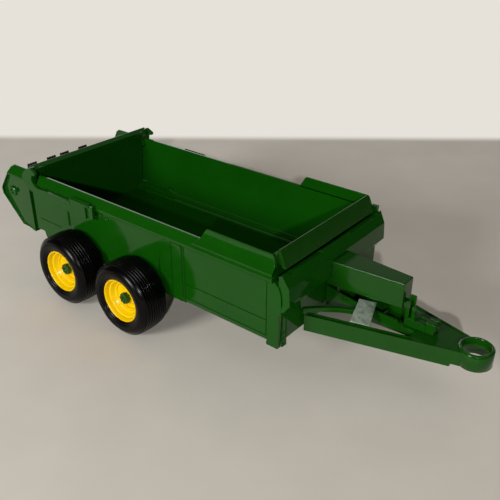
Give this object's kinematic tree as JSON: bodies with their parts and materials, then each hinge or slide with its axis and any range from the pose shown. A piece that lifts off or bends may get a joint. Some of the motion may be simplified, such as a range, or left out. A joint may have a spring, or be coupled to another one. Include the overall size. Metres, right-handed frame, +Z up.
{
  "type": "toy manure spreader",
  "caption": "Scale toy manure spreader: open load box with sliding push panel, lifting rear gate and beater, on tandem wheels, with a drawbar ending in a hitch ring.",
  "frame": {"origin": "centre of the whole toy's outline, on the floor under the wheels", "axes": "+X forward to the hitch ring, +Y to the spreader's left, +Z up"},
  "size_m": [0.4795, 0.204, 0.1115],
  "materials": {
    "green_enamel": "gloss",
    "green_plastic": "gloss",
    "yellow_plastic": "gloss",
    "black_rubber": "satin",
    "black_plastic": "matte",
    "zinc_steel": "satin"
  },
  "bodies": {
    "body": {"floor_pan": "green_enamel", "floor_strip_left": "green_enamel", "floor_strip_right": "green_enamel", "side_wall_left": "green_enamel", "side_wall_right": "green_enamel", "top_rail_left": "green_enamel", "top_rail_right": "green_enamel", "extension_left": "green_enamel", "extension_right": "green_enamel", "front_wall": "green_enamel", "beater_plate_left": "green_enamel", "beater_plate_right": "green_enamel", "gate_pivot_left": "green_enamel", "gate_pivot_right": "green_enamel", "bogie_beam_left": "green_enamel", "bogie_beam_right": "green_enamel", "axle_front": "zinc_steel", "axle_rear": "zinc_steel", "tongue_beam_left": "green_plastic", "tongue_beam_right": "green_plastic", "tongue_rib": "green_plastic", "tongue_head": "green_plastic", "hitch_ring": "green_plastic", "cylinder_cover": "green_plastic", "cover_bracket": "green_plastic", "channel_end_block": "green_plastic", "drawbar_stop": "green_plastic", "stay_plate": "zinc_steel", "feed_pipe": "green_plastic"},
    "push_panel": {"push_panel": "green_plastic"},
    "beater": {"beater_shaft": "zinc_steel", "beater_drum": "black_plastic"},
    "gate": {"gate_panel": "green_enamel", "gate_arm_left": "green_enamel", "gate_arm_right": "green_enamel"},
    "wheel_front_left": {"tyre_front_left": "black_rubber", "rim_front_left": "yellow_plastic", "hub_cap_front_left": "green_plastic"},
    "wheel_front_right": {"tyre_front_right": "black_rubber", "rim_front_right": "yellow_plastic", "hub_cap_front_right": "green_plastic"},
    "wheel_rear_left": {"tyre_rear_left": "black_rubber", "rim_rear_left": "yellow_plastic", "hub_cap_rear_left": "green_plastic"},
    "wheel_rear_right": {"tyre_rear_right": "black_rubber", "rim_rear_right": "yellow_plastic", "hub_cap_rear_right": "green_plastic"}
  },
  "joints": [
    {"name": "wheel_front_left_spin", "type": "hinge", "parent": "body", "child": "wheel_front_left", "pos_m": [-0.0385, 0.0875, 0.033], "axis": [0, 1, 0], "continuous": true},
    {"name": "wheel_front_right_spin", "type": "hinge", "parent": "body", "child": "wheel_front_right", "pos_m": [-0.0385, -0.0875, 0.033], "axis": [0, 1, 0], "continuous": true},
    {"name": "wheel_rear_left_spin", "type": "hinge", "parent": "body", "child": "wheel_rear_left", "pos_m": [-0.1157, 0.0875, 0.033], "axis": [0, 1, 0], "continuous": true},
    {"name": "wheel_rear_right_spin", "type": "hinge", "parent": "body", "child": "wheel_rear_right", "pos_m": [-0.1157, -0.0875, 0.033], "axis": [0, 1, 0], "continuous": true},
    {"name": "beater_spin", "type": "hinge", "parent": "body", "child": "beater", "pos_m": [-0.2199, 0, 0.0728], "axis": [0, 1, 0], "continuous": true},
    {"name": "gate_lift", "type": "hinge", "parent": "body", "child": "gate", "pos_m": [-0.1037, 0, 0.0835], "axis": [0, 1, 0], "range_deg": [0, 60]},
    {"name": "push_panel_slide", "type": "slide", "parent": "body", "child": "push_panel", "axis": [-1, 0, 0], "range_m": [0, 0.229]}
  ]
}
